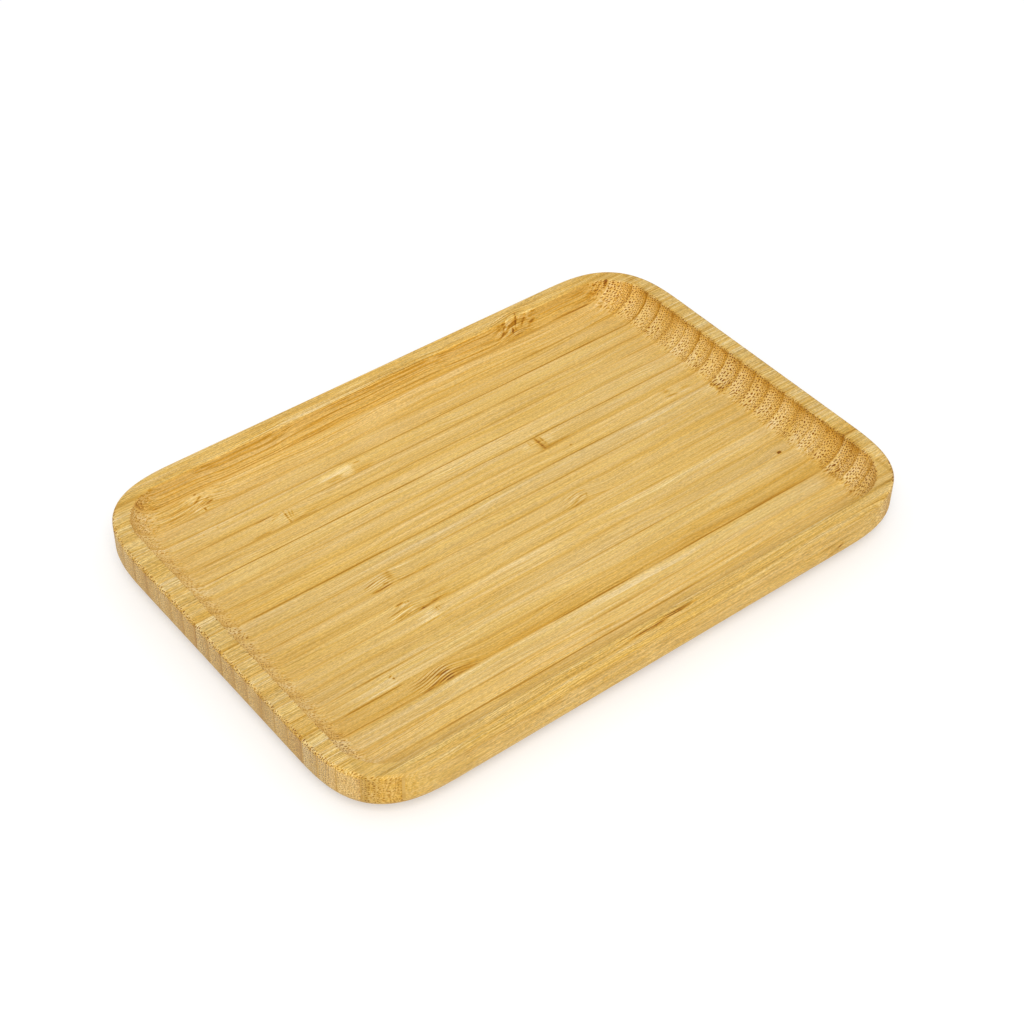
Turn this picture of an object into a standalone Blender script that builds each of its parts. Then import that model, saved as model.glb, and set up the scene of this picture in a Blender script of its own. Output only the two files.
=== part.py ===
"""Bamboo appetizer tray.

Full-height bamboo strips are glued side by side into a board, and the board is then shaped as one:
a rounded outline, a broad rounding under the edge, and a shallow recess with a coved wall. Each
strip is its own object, cut from the shaped board, so that the grain of every strip runs through
the rim, the cove and the floor as it does in the real tray.

Metres, +Z up. The flat underside lies on Z = 0, the length and the strips run along X, and the
strips follow one another along Y from the front edge to the back edge.
"""

import math

import bmesh
import bpy
from mathutils import Vector

# The board
TRAY_LENGTH = 0.2000
TRAY_WIDTH = 0.1385
TRAY_HEIGHT = 0.0160

# The outline and the edge: each corner starts CORNER_REACH before the sides would meet, and bends
# as a curve whose shares along the two sides, raised to CORNER_POWER, add up to one
CORNER_REACH = 0.0320
CORNER_POWER = 3.0
UNDERSIDE_REACH = 0.0140
UNDERSIDE_RISE = 0.0072
TOP_EDGE_ROUND = 0.0010

# The recess: its corners are quarter circles
RIM_WIDTH = 0.0061
RECESS_DEPTH = 0.0090
RECESS_CORNER_RADIUS = 0.0144
CIRCLE_POWER = 2.0
COVE_RADIUS = 0.0095
INNER_EDGE_ROUND = 0.0006

# The strips: the two edge strips are what the outline leaves of a full one
STRIP_COUNT = 23
FRONT_STRIP_WIDTH = 0.0022
BACK_STRIP_WIDTH = 0.0027
GLUE_LINE = 0.0003

# Facets of each quarter turn
CORNER_STEPS = 12
UNDERSIDE_STEPS = 9
TOP_EDGE_STEPS = 3
INNER_EDGE_STEPS = 2
COVE_STEPS = 8

# Two points closer than this are the same point
SAME_POINT = 0.000001

# Finish: each strip's colour lies this share of the way from pale straw to amber, front to back
PALE_STRAW = (0.800, 0.585, 0.275)
AMBER = (0.690, 0.400, 0.110)
SATIN_ROUGHNESS = 0.48
AMBER_SHARES = (
    0.45, 0.25, 0.20, 0.35, 0.15, 0.80, 0.30, 0.20, 0.40, 0.15, 0.25, 0.35,
    0.10, 0.30, 0.20, 0.30, 0.45, 0.25, 0.35, 0.20, 0.30, 0.75, 0.85,
)


def clear_scene():
    """Remove every object that the scene holds."""
    for old in list(bpy.data.objects):
        bpy.data.objects.remove(old, do_unlink=True)


def arc(centre, reach, rise, start, end, steps):
    """Points (inset, height) of an ellipse; angle 0 points inwards and 90 degrees points up."""
    angles = [math.radians(start + (end - start) * step / steps) for step in range(steps + 1)]
    return [
        (centre[0] + reach * math.cos(angle), centre[1] + rise * math.sin(angle))
        for angle in angles
    ]


def without_repeats(points):
    """The points in order, leaving out any that lies on the one before it."""
    kept = [points[0]]
    for point in points[1:]:
        if math.dist(point, kept[-1]) > SAME_POINT:
            kept.append(point)
    return kept


def edge_profile():
    """The outer edge from the flat underside to the rim, its insets counted from the outline."""
    rise = min(UNDERSIDE_RISE, TRAY_HEIGHT - TOP_EDGE_ROUND)
    under = arc((UNDERSIDE_REACH, rise), UNDERSIDE_REACH, rise, 270, 180, UNDERSIDE_STEPS)
    top_centre = (TOP_EDGE_ROUND, TRAY_HEIGHT - TOP_EDGE_ROUND)
    top = arc(top_centre, TOP_EDGE_ROUND, TOP_EDGE_ROUND, 180, 90, TOP_EDGE_STEPS)
    return without_repeats(under + top)


def recess_profile():
    """The recess from the rim to the floor, its insets counted from the recess's edge.

    The cove is the end of a quarter round: where the recess is shallower than the cove's radius,
    the arc starts part of the way down it, and where it is deeper, a straight wall comes first.
    """
    edge_centre = (-INNER_EDGE_ROUND, TRAY_HEIGHT - INNER_EDGE_ROUND)
    edge = arc(edge_centre, INNER_EDGE_ROUND, INNER_EDGE_ROUND, 90, 0, INNER_EDGE_STEPS)
    cove_height = min(COVE_RADIUS, RECESS_DEPTH - INNER_EDGE_ROUND)
    swing = math.degrees(math.acos(1 - cove_height / COVE_RADIUS))
    floor_height = TRAY_HEIGHT - RECESS_DEPTH
    cove_centre = (COVE_RADIUS * math.sin(math.radians(swing)), floor_height + COVE_RADIUS)
    cove = arc(cove_centre, COVE_RADIUS, COVE_RADIUS, 270 - swing, 270, COVE_STEPS)
    return without_repeats(edge + cove)


def rounded_rectangle(half_length, half_width, reach, power):
    """Points (x, y) of a rounded rectangle, anticlockwise, each corner a quarter turn.

    A corner's point lies in the direction of its angle, at the distance where the two shares of the
    reach, raised to the power, add up to one.
    """
    points = []
    for side_x, side_y, first in ((1, 1, 0), (-1, 1, 90), (-1, -1, 180), (1, -1, 270)):
        centre_x = side_x * (half_length - reach)
        centre_y = side_y * (half_width - reach)
        for step in range(CORNER_STEPS + 1):
            angle = math.radians(first + 90 * step / CORNER_STEPS)
            along, aside = math.cos(angle), math.sin(angle)
            distance = reach / (abs(along) ** power + abs(aside) ** power) ** (1 / power)
            points.append((centre_x + distance * along, centre_y + distance * aside))
    return points


def board_rings():
    """Every ring of the shaped board in order, from the underside out, over the rim and down to the floor."""
    half_length = TRAY_LENGTH / 2
    half_width = TRAY_WIDTH / 2
    rings = []
    for inset, height in edge_profile():
        reach = CORNER_REACH - inset
        outline = rounded_rectangle(half_length - inset, half_width - inset, reach, CORNER_POWER)
        rings.append([Vector((x, y, height)) for x, y in outline])
    for inset, height in recess_profile():
        whole = RIM_WIDTH + inset
        reach = RECESS_CORNER_RADIUS - inset
        outline = rounded_rectangle(half_length - whole, half_width - whole, reach, CIRCLE_POWER)
        rings.append([Vector((x, y, height)) for x, y in outline])
    return rings


def shaped_board():
    """The whole board as one closed mesh, lofted through its rings, with a flat underside and floor."""
    board = bmesh.new()
    rings = [[board.verts.new(point) for point in ring] for ring in board_rings()]
    for lower, upper in zip(rings, rings[1:]):
        for here in range(len(lower)):
            after = (here + 1) % len(lower)
            board.faces.new((lower[here], lower[after], upper[after], upper[here]))
    board.faces.new(reversed(rings[0]))
    board.faces.new(rings[-1])
    return board


def cut_side(shape, y, keep_above):
    """Saw the shape along the plane at y, keep one side of it, and close the sawn face."""
    bmesh.ops.bisect_plane(
        shape,
        geom=shape.verts[:] + shape.edges[:] + shape.faces[:],
        dist=SAME_POINT,
        plane_co=(0, y, 0),
        plane_no=(0, 1, 0),
        clear_inner=keep_above,
        clear_outer=not keep_above,
    )
    open_edges = [edge for edge in shape.edges if edge.is_boundary]
    bmesh.ops.edgeloop_fill(shape, edges=open_edges)


def strip_limits():
    """The front and back Y of each strip: full strips share what the two edge strips leave."""
    full_width = (TRAY_WIDTH - FRONT_STRIP_WIDTH - BACK_STRIP_WIDTH) / (STRIP_COUNT - 2)
    first_joint = FRONT_STRIP_WIDTH - TRAY_WIDTH / 2
    joints = [first_joint + full_width * index for index in range(STRIP_COUNT - 1)]
    edges = [-TRAY_WIDTH / 2] + joints + [TRAY_WIDTH / 2]
    return list(zip(edges, edges[1:]))


def strip_name(index):
    """The edge strips are named by their place and the full strips by their number."""
    if index == 0:
        return "front_edge_strip"
    if index == STRIP_COUNT - 1:
        return "back_edge_strip"
    return f"strip_{index + 1:02d}"


def bamboo_material(name, amber_share):
    """Oiled, sanded bamboo of one strip's tone."""
    material = bpy.data.materials.new(name + "_bamboo")
    material.use_nodes = True
    shader = material.node_tree.nodes["Principled BSDF"]
    colour = [pale + (amber - pale) * amber_share for pale, amber in zip(PALE_STRAW, AMBER)]
    shader.inputs["Base Color"].default_value = (*colour, 1)
    shader.inputs["Roughness"].default_value = SATIN_ROUGHNESS
    shader.inputs["Metallic"].default_value = 0
    material.diffuse_color = (*colour, 1)
    return material


def make_strip(board, index, front, back, tray):
    """Cut one strip out of the shaped board, half a glue line short of each joint."""
    shape = board.copy()
    if index > 0:
        cut_side(shape, front + GLUE_LINE / 2, keep_above=True)
    if index < STRIP_COUNT - 1:
        cut_side(shape, back - GLUE_LINE / 2, keep_above=False)
    middle = Vector((0, (front + back) / 2, 0))
    bmesh.ops.translate(shape, verts=shape.verts, vec=-middle)
    bmesh.ops.recalc_face_normals(shape, faces=shape.faces)
    mesh = bpy.data.meshes.new(strip_name(index))
    shape.to_mesh(mesh)
    shape.free()
    mesh.shade_smooth()
    mesh.set_sharp_from_angle(angle=math.radians(35))
    share = AMBER_SHARES[index % len(AMBER_SHARES)]
    mesh.materials.append(bamboo_material(strip_name(index), share))
    strip = bpy.data.objects.new(strip_name(index), mesh)
    strip.location = middle
    strip.parent = tray
    bpy.context.scene.collection.objects.link(strip)


def make_tray():
    """Shape the board, then cut it into its strips under one empty at the tray's origin."""
    tray = bpy.data.objects.new("tray_origin", None)
    bpy.context.scene.collection.objects.link(tray)
    board = shaped_board()
    for index, (front, back) in enumerate(strip_limits()):
        make_strip(board, index, front, back, tray)
    board.free()


clear_scene()
make_tray()
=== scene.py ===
import functools
import math

import bmesh
import bpy
import numpy as np
from mathutils import Euler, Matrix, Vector


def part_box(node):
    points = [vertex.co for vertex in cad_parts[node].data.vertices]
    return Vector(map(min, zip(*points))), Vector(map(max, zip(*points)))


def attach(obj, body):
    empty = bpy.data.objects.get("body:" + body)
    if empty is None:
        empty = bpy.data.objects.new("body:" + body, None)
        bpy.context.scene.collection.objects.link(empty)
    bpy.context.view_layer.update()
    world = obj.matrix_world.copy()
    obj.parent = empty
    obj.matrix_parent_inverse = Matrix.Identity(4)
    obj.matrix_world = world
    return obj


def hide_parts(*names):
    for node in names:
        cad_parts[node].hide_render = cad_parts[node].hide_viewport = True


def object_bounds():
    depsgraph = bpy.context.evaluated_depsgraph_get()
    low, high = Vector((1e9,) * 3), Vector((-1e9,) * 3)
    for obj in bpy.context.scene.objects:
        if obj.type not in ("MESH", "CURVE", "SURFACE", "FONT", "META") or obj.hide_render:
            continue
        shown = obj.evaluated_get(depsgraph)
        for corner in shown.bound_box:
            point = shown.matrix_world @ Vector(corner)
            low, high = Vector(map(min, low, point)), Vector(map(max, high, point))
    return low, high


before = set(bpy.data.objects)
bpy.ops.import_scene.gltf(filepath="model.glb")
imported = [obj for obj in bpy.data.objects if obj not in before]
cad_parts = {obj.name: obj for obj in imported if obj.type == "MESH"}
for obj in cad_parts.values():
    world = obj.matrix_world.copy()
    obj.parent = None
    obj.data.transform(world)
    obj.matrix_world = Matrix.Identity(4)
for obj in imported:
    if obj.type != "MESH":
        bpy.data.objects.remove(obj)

cad_low, cad_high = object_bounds()


# The pale strips
# Ten of the 21 full strips are straw-coloured bamboo. Each was split from the culm, planed square, stood
# on edge and glued to its neighbours, and then routed and sanded with the rest of the board.

MM = 0.001
half_length = cad_high.x
half_width = cad_high.y
tray_height = cad_high.z

CORNER_REACH = 32 * MM
CORNER_POWER = 3.0
UNDERSIDE_REACH = 14 * MM
UNDERSIDE_RISE = 7.2 * MM
TOP_EDGE_ROUND = 1 * MM
RIM_WIDTH = 6.1 * MM
RECESS_DEPTH = 9 * MM
RECESS_CORNER_RADIUS = 14.4 * MM
CIRCLE_POWER = 2.0
COVE_RADIUS = 9.5 * MM
INNER_EDGE_ROUND = 0.6 * MM

# How finely the surface is drawn
WALL_STEPS = 12
TOP_EDGE_STEPS = 8
RIM_STEPS = 6
INNER_EDGE_STEPS = 6
COVE_STEPS = 24
ROW_SPACING = 0.26 * MM
FLOOR_SPACING = 0.7 * MM
KNUCKLE_SPACING = 0.16 * MM
KNUCKLE_REACH = 6 * MM
FLOOR_SAMPLES = 4001
SAME_POINT = 0.001 * MM
SHARP_EDGE_DEGREES = 40

# What the sanding left: eased edges at the joints, with a row at each of three shares of their width,
# and shallow waves of three lengths
EASED_EDGE_DEPTH = 0.01 * MM
EASED_EDGE_WIDTH = 0.12 * MM
EASED_EDGE_ROWS = (0.3, 0.8, 1.5)
SANDING_WAVE = 0.02 * MM
SANDING_WAVE_LENGTHS = (61 * MM, 37 * MM, 23 * MM)

# How the fibres waver: waves' lengths and heights in millimetres, and how they differ up and across a strip
WAVERS = ((95, 0.34), (43, 0.14), (17, 0.05))
WAVER_TURN_UP = 0.15
WAVER_SHARE_UP = 0.6
WAVER_SHARE_ACROSS = 0.7
WAVER_RATE_ACROSS = 0.8
CULM_PLACES = 4000

# The parts of the board that look different: how much deeper the colour is in each, and how much brighter.
# Most of the brighter column is painted light and shade: painted shade at both ends and on the front lip,
# painted light on the left end face, both coves, the long sides and the near bend, and the left rim's top
# lifted back out of the left end's painted shade
ZONE_LOOKS = {
    "left_end_painted_shade": (0, -0.14), "right_end_painted_shade": (0, -0.08),
    "left_face_painted_light": (0, 0.16), "left_cove": (0, 0.33), "right_cove_painted_light": (0, 0.17), "long_sides_painted_light": (0, 0.10),
    "near_corner": (0.42, 0), "near_bend_painted_light": (0, 0.095), "turned_face": (0.24, -0.06),
    "right_lip": (0.26, 0), "front_lip_painted_shade": (0, -0.11),
    "left_rim": (0, 0.035), "back_rim": (-0.11, 0), "front_rim": (0, -0.05), "front_face": (-0.08, 0),
}
# How far the painted shade at each end reaches
END_REACH = 24 * MM
# How much less painted light the left cove gets by the far corner, and how much more the right one gets
FAR_LEFT_LESS = 0.5
FAR_RIGHT_MORE = 0.6
LEVEL_ENOUGH = 0.8
RIM_START = 0.3 * MM
LEFT_RIM_REACH = 12 * MM
FRONT_STRIP_WIDTH = 2.2 * MM
FRONT_FACE_REACH = 0.4 * MM

# Where those parts lie: from where to where along, across or up, and how softly they end
NEAR_CORNER = (-2 * half_width, -61 * MM, 0.8 * MM)
# NEAR_BEND also bounds the painted light on the end faces beside the near corner
NEAR_BEND = (-61 * MM, -52 * MM, 0.8 * MM)
FAR_CORNER = (52 * MM, 2 * half_width, 5 * MM)
LEFT_COVE = (RIM_WIDTH - half_length, -82 * MM, 1 * MM)
LEFT_EDGE = (tray_height - 1.2 * MM, tray_height, 0.2 * MM)
LIP = (-0.3 * MM, 1 * MM, 0.2 * MM)
RIGHT_LIP = (70 * MM, half_length, 6 * MM)
# FRONT_LIP bounds the painted shade on the front lip
FRONT_LIP = (-half_width, -55 * MM, 2 * MM)
BACK_RIM = (half_width - RIM_WIDTH, 2 * half_width, 0.4 * MM)
FRONT_RIM = (tray_height - 0.6 * MM, tray_height, 0.2 * MM)
FRONT_FACE = (0, 12 * MM, 1 * MM)

# How plainly the end grain shows at the left end, as more or less than at the right one, and how greyed
LEFT_FACE_OPENED = 0.15
LEFT_COVE_OPEN = 0.52
NEAR_CORNER_CLOSED = 0.6
NEAR_BEND_CLOSED = 0.6
TURNED_FACE_CLOSED = 0.1
FRONT_STRIP_CLOSED = 0.8
GREYED_FACE = 0.27
GREYED_COVE = 0.12
BACK_BUNDLES_SPARSER = 0.6
BACK_BUNDLES_REACH = 9 * MM

# How strong the figure is on the floor and where the sanding went on longer, and the pale line by each joint
FLOOR_FIGURE = 1.0
WORN_FIGURE = 2.2
FACE_FIGURE = 1.4
FACE_REACH = 0.7 * MM
BRIGHTNESS = 0.97
PITH_LIFT = 0.022
PITH_PLACE = 0.9 * MM
PITH_WIDTH = 0.4 * MM
BROWNEST = 2

SEAM_REACH = 0.15 * MM
RIM_JOINTS_WORN = 0.2
RIM_DEPTH = 0.4 * MM
LEFT_COVE_JOINTS_WORN = 0.5

STRIP_NAMES = ["front_edge_strip", *[f"strip_{number:02d}" for number in range(2, 23)], "back_edge_strip"]
STRIP_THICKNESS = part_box("strip_02")[1].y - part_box("strip_02")[0].y

# How dark each joint is, from front to back: places along it in millimetres, and its strength at each in
# hundredths
JOINTS = (
    ((0, 0),),
    ((-88, 45), (-80, 20)),
    ((-97, 40), (-84, 10), (-40, 40), (-20, 20), (20, 30), (80, 50)),
    ((-80, 30), (-40, 70), (10, 60), (20, 70), (30, 20), (80, 30)),
    ((-80, 20), (-40, 50), (-20, 20), (0, 50), (30, 0), (80, 20)),
    ((-80, 30), (-62, 60), (-48, 50), (-40, 20), (-22, 30), (-12, 80), (8, 90), (16, 40), (30, 80),
     (60, 110), (80, 60), (88, 20)),
    ((-96, 20), (-80, 90), (-66, 90), (-63, 20), (-40, 30), (0, 20), (25, 0), (84, 10)),
    ((-80, 40), (-70, 70), (-58, 50), (-48, 20), (0, 30), (28, 60), (40, 30), (84, 20)),
    ((-80, 30), (-54, 20), (-46, 0), (-15, 10), (22, 40), (34, 10), (56, 30), (84, 10)),
    ((-80, 30), (-46, 30), (-24, 10), (8, 35), (22, 0), (50, 10), (84, 10)),
    ((-80, 30), (-30, 10), (10, 0), (20, 20), (84, 10)),
    ((-80, 50), (-56, 20), (-46, 40), (-20, 20), (4, 50), (20, 20), (84, 20)),
    ((-80, 35), (0, 30), (24, 55), (50, 25), (84, 10)),
    ((-80, 70), (-50, 80), (20, 60), (36, 70), (60, 30), (84, 30)),
    ((-80, 30), (20, 20), (28, 60), (40, 30), (84, 30)),
    ((-80, 25), (0, 45), (20, 60), (30, 80), (84, 50)),
    ((-96, 30), (-72, 80), (-10, 80), (20, 50), (36, 20), (84, 30)),
    ((-80, 50), (84, 30)),
    ((-80, 40), (-60, 50), (-50, 20), (-10, 60), (20, 40), (24, 10), (40, 50), (84, 40)),
    ((-80, 20), (-20, 55), (40, 65), (60, 80), (84, 60)),
    ((-80, 30), (-50, 30), (-40, 0), (-15, 0), (5, 30), (30, 0), (50, 60), (84, 30)),
    ((-80, 10), (0, 20), (60, 40), (76, 10), (88, -50)),
    ((-80, 0), (-44, 30), (0, 20), (40, 10), (60, 50), (84, 30)),
    ((0, 0),),
)

floor_height = tray_height - RECESS_DEPTH
cove_height = min(COVE_RADIUS, RECESS_DEPTH - INNER_EDGE_ROUND)
cove_swing = math.acos(1 - cove_height / COVE_RADIUS)
cove_width = COVE_RADIUS * math.sin(cove_swing)


def joint_strength(number, places):
    """How dark a joint is at each place: read off along it, and less on the rim and in the left cove."""
    along, hundredths = zip(*JOINTS[number])
    rim = places[:, :, 2] > tray_height - RIM_DEPTH
    left_cove = window(places[:, :, 0], *LEFT_COVE)
    worn = (1 - RIM_JOINTS_WORN * rim) * (1 - LEFT_COVE_JOINTS_WORN * left_cove)
    return np.interp(places[:, :, 0] / MM, along, hundredths) / 100 * worn


def edge_lean(inset):
    """How far the rounded top edge leans outwards: 1 where upright, falling evenly with the inset."""
    return np.clip(1 - inset / TOP_EDGE_ROUND, 0, 1)


def recess_lean(inset):
    """How far the recess leans inwards: it rises from 0 to 1 over its edge, then falls evenly to 0."""
    edge = np.clip(1 + inset / INNER_EDGE_ROUND, 0, 1)
    cove = np.clip((cove_width - inset) / COVE_RADIUS, 0, 1)
    return np.where(inset < 0, edge, cove)


def under_lean(inset):
    """How far the rounding below leans outwards, which is a quarter of an ellipse."""
    level = np.clip(1 - inset / UNDERSIDE_REACH, 0, 1)
    upright = np.sqrt(1 - level**2)
    return level / UNDERSIDE_REACH / np.hypot(level / UNDERSIDE_REACH, upright / UNDERSIDE_RISE)


def top_height(inset):
    """Height of the upper face: the lower of the edge's quarter round and of the recess's edge and cove."""
    edge = tray_height - TOP_EDGE_ROUND * (1 - np.sqrt(1 - edge_lean(inset) ** 2))
    inwards = inset - RIM_WIDTH
    level = np.sqrt(1 - recess_lean(inwards) ** 2)
    lip = tray_height - INNER_EDGE_ROUND * (1 - level)
    cove = floor_height + COVE_RADIUS * (1 - level)
    return np.minimum(edge, np.where(inwards < 0, lip, cove))


def under_height(inset):
    """Height of the lower face: the rise less its upright share, so that it ends flat on the table."""
    level = np.clip(1 - inset / UNDERSIDE_REACH, 0, 1)
    return UNDERSIDE_RISE * (1 - np.sqrt(1 - level**2))


def ring(inset, across, length, width, reach, power):
    """Where a rounded rectangle, drawn in by an inset, crosses lines along the tray.

    Past the straight end, the distances past the corner's centre along and across, each raised to the
    power, add up to the ring's reach raised to it. The second value is the ring's outward direction along X.
    """
    turn = reach - inset[None, :]
    past = np.clip(np.abs(across)[:, None] - (width - reach), 0, turn)
    out = (turn**power - past**power) ** (1 / power)
    slope = np.hypot(out ** (power - 1), past ** (power - 1))
    return length - reach + out, out ** (power - 1) / slope


quarter = np.linspace(0, math.pi / 2, TOP_EDGE_STEPS + 1)
edge_insets = TOP_EDGE_ROUND * (1 - np.cos(quarter))
quarter = np.linspace(0, math.pi / 2, INNER_EDGE_STEPS + 1)
lip_insets = INNER_EDGE_ROUND * (np.sin(quarter) - 1)
swings = np.linspace(cove_swing, 0, COVE_STEPS + 1)[1:]
cove_insets = cove_width - COVE_RADIUS * np.sin(swings)
recess_insets = np.concatenate([lip_insets, cove_insets])
rim_shares = np.linspace(0, 1, RIM_STEPS + 1)[1:-1]
rim_insets = edge_insets[-1] + rim_shares * (RIM_WIDTH + recess_insets[0] - edge_insets[-1])
wall_heights = np.linspace(UNDERSIDE_RISE, tray_height - TOP_EDGE_ROUND, WALL_STEPS + 1)[:-1]
wall_insets = np.zeros(WALL_STEPS)
top_insets = np.concatenate([wall_insets, edge_insets, rim_insets, RIM_WIDTH + recess_insets])
quarter = np.linspace(0, math.pi / 2, len(top_insets))
under_insets = UNDERSIDE_REACH * (1 - np.cos(quarter))


def board_faces(across, ceilings, floor_shares):
    """Upper and lower face of the board along lines at the given places across it.

    Each line runs from left to right. A point's inset is that of its ring, or the line's own distance from
    the long side where the ring lies further in, and its height and lean follow the inset. No point lies
    above its line's ceiling, which lets the lines of a long side step down its wall. Returns places and
    outward directions, each as lines by points by XYZ, for the upper and the lower face.
    """
    distance = (half_width - np.abs(across))[:, None]
    outer = np.concatenate([wall_insets, edge_insets])
    edge, edge_way = ring(outer, across, half_length, half_width, CORNER_REACH, CORNER_POWER)
    length, width = half_length - RIM_WIDTH, half_width - RIM_WIDTH
    recess, recess_way = ring(recess_insets, across, length, width, RECESS_CORNER_RADIUS, CIRCLE_POWER)
    rim = edge[:, -1:] + rim_shares * (recess[:, :1] - edge[:, -1:])
    reach = np.minimum.accumulate(np.concatenate([edge, rim, recess], axis=1), axis=1)
    way = np.concatenate([edge_way, np.zeros_like(rim), recess_way], axis=1)
    inset = np.minimum(top_insets, distance)
    lean = edge_lean(inset) - recess_lean(inset - RIM_WIDTH)
    height = top_height(inset)
    height[:, :WALL_STEPS] = wall_heights
    height = np.minimum(height, ceilings[:, None])
    upper = whole_lines(reach, way, lean, height, 1, across, floor_shares)
    reach, way = ring(under_insets, across, half_length, half_width, CORNER_REACH, CORNER_POWER)
    inset = np.minimum(under_insets, distance)
    lower = whole_lines(reach, way, under_lean(inset), under_height(inset), -1, across, floor_shares)
    return upper, lower


def whole_lines(reach, way, lean, height, upwards, across, floor_shares):
    """Mirror the rings of one end to the other, and spread the flat's points between the innermost two.

    An outward direction is the lean times the ring's direction, and up or down by what is left.
    """
    flat = reach[:, -1:] * floor_shares
    x = np.concatenate([-reach, flat, reach[:, ::-1]], axis=1)
    z = np.concatenate([height, np.repeat(height[:, -1:], len(floor_shares), 1), height[:, ::-1]], axis=1)
    y = np.repeat(across[:, None], x.shape[1], 1)
    aside = np.sqrt(1 - way**2) * np.sign(across)[:, None]
    lean_x, lean_y = lean * way, lean * aside
    flat_y = np.repeat((lean[:, -1:] * np.sign(across)[:, None]), len(floor_shares), 1)
    normal_x = np.concatenate([-lean_x, np.zeros_like(flat), lean_x[:, ::-1]], axis=1)
    normal_y = np.concatenate([lean_y, flat_y, lean_y[:, ::-1]], axis=1)
    normal_z = upwards * np.sqrt(np.clip(1 - normal_x**2 - normal_y**2, 0, 1))
    return np.stack([x, y, z], axis=2), np.stack([normal_x, normal_y, normal_z], axis=2)


def closed_band(across, ceilings, floor_shares):
    """The board's section at each place across: the upper face to the right and the lower one back."""
    upper, lower = board_faces(across, ceilings, floor_shares)
    return tuple(np.concatenate([top, under[:, ::-1]], axis=1) for top, under in zip(upper, lower))


def band_faces(lines, points):
    """Quads of a closed band of lines, and of its two sawn ends, where upper and lower points face."""
    index = np.arange(lines * points).reshape(lines, points)
    after = np.roll(index, -1, axis=1)
    skin = np.stack([index[:-1], after[:-1], after[1:], index[1:]], axis=2).reshape(-1, 4)
    upper = index[:, : points // 2]
    lower = index[:, : points // 2 - 1 : -1]
    ends = []
    for line, turned in ((0, 1), (-1, -1)):
        corners = [upper[line, :-1], lower[line, :-1], lower[line, 1:], upper[line, 1:]]
        ends.append(np.stack(corners[::turned], axis=1))
    return np.concatenate([skin, *ends])


def add_object(name, data):
    """One object of the scene."""
    made = bpy.data.objects.new(name, data)
    bpy.context.scene.collection.objects.link(made)
    return made


def shaped_piece(name, places, faces, values):
    """A closed mesh with its values as attributes; points that meet on a long side are made one."""
    mesh = bpy.data.meshes.new(name)
    mesh.from_pydata(places.reshape(-1, 3).tolist(), [], faces.tolist())
    for value, numbers in values.items():
        vector = numbers.ndim == 3
        layer = mesh.attributes.new(value, "FLOAT_VECTOR" if vector else "FLOAT", "POINT")
        layer.data.foreach_set("vector" if vector else "value", numbers.astype(np.float32).ravel())
    shape = bmesh.new()
    shape.from_mesh(mesh)
    bmesh.ops.remove_doubles(shape, verts=shape.verts, dist=SAME_POINT)
    shape.to_mesh(mesh)
    shape.free()
    mesh.shade_smooth()
    mesh.set_sharp_from_angle(angle=math.radians(SHARP_EDGE_DEGREES))
    return add_object(name, mesh)


def spread_columns(knuckles):
    """Shares of the flat's half length: where the sum of a density along it passes whole numbers.

    The density rises round each knuckle as a flat-topped bell curve.
    """
    reach = half_length - RIM_WIDTH - cove_width
    fine = np.linspace(-reach, reach, FLOOR_SAMPLES)
    density = np.full_like(fine, 1 / FLOOR_SPACING)
    for mark in knuckles:
        nearness = np.exp(-(((fine - mark["along"]) / KNUCKLE_REACH) ** 4))
        density = np.maximum(density, nearness / KNUCKLE_SPACING)
    total = np.cumsum(density) * (fine[1] - fine[0])
    count = int(total[-1])
    columns = np.interp(np.arange(1, count) * total[-1] / count, total, fine)
    return columns / reach


def spread_rows(front, back):
    """Places across a strip: both sawn faces, even rows, eased edges, and the rounds where they cross.

    On a long side the place stays the same while the ceiling steps down the wall. Returns both.
    """
    even = np.linspace(front, back, 2 + int((back - front) / ROW_SPACING))
    eased = EASED_EDGE_WIDTH * np.array(EASED_EDGE_ROWS)
    rounds = np.concatenate([top_insets, under_insets[::2]])
    shaped = np.concatenate([front + eased, back - eased, half_width - rounds, rounds - half_width])
    shaped = shaped[(shaped > front) & (shaped < back)]
    rows = np.unique(np.round(np.concatenate([even, shaped]) / MM, 2)) * MM
    ceilings = np.full_like(rows, tray_height)
    if rows[0] < MM - half_width:
        rows = np.concatenate([np.full(WALL_STEPS, rows[0]), rows])
        ceilings = np.concatenate([wall_heights, ceilings])
    if rows[-1] > half_width - MM:
        rows = np.concatenate([rows, np.full(WALL_STEPS, rows[-1])])
        ceilings = np.concatenate([ceilings, wall_heights[::-1]])
    return rows, ceilings


def window(value, low, high, softness):
    """1 between two limits, falling smoothly to 0 past each; far past them the exponents stop growing."""
    rise = np.clip((value - low) / softness * 2, -60, 60)
    fall = np.clip((value - high) / softness * 2, -60, 60)
    return 1 / (1 + np.exp(-rise)) / (1 + np.exp(fall))


def bell(value, width):
    """1 at nought, falling evenly on both sides: e to the power of minus the square of value over width."""
    return np.exp(-((value / width) ** 2))


def stroke(along, share, length, turn, dark, thick=22, height=None):
    """One short mark: its middle, millimetres along from its knuckle and hundredths of the way across the
    strip, its length in millimetres, its turn from the fibres in degrees, how dark it is in hundredths, below
    nought for a pale one, and its thickness in hundredths of a millimetre. On a long side's face its height
    in millimetres replaces the share.
    """
    return {"along": along * MM, "share": share / 100, "length": length * MM, "turn": math.radians(turn),
            "dark": dark / 100, "thick": thick / 100 * MM, "height": height}


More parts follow.
